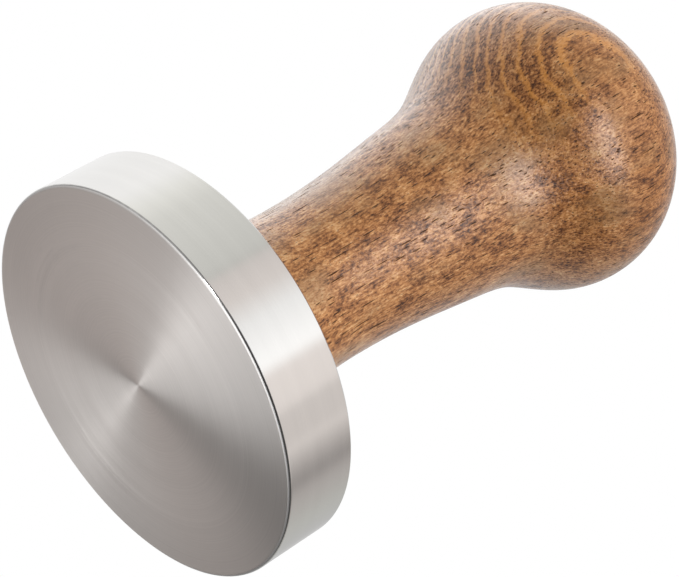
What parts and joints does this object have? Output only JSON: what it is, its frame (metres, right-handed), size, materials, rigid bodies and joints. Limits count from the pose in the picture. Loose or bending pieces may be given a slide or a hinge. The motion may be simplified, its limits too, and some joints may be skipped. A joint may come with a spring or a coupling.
{
  "type": "espresso tamper",
  "caption": "Espresso tamper with a flat polished steel base disc and a turned wooden handle that unscrews from it.",
  "frame": {"origin": "centre of the flat working face, on the face", "axes": "+Z along the tamper's axis, from the working face up the handle"},
  "size_m": [0.058, 0.058, 0.0966],
  "materials": {
    "base_steel": "satin stainless steel with fine turned rings on the faces",
    "stud_steel": "plain steel set screw",
    "insert_brass": "machined and knurled",
    "handle_wood": "stained open-grained hardwood under a satin varnish"
  },
  "bodies": {
    "base_body": {"base": "base_steel", "threaded_stud": "stud_steel"},
    "insert_body": {"threaded_insert": "insert_brass"},
    "handle_body": {"handle": "handle_wood"}
  },
  "joints": [
    {"name": "handle_rise", "type": "slide", "parent": "base_body", "child": "insert_body", "axis": [0, 0, 1], "range_m": [0, 0.0125]},
    {"name": "handle_unscrew", "type": "hinge", "parent": "insert_body", "child": "handle_body", "pos_m": [0, 0, 0.0112], "axis": [0, 0, 1], "range_deg": [0, 3600]}
  ],
  "couplings": [
    {"joint": "handle_unscrew", "follows": "handle_rise", "rad_per_m": 5026.5}
  ]
}
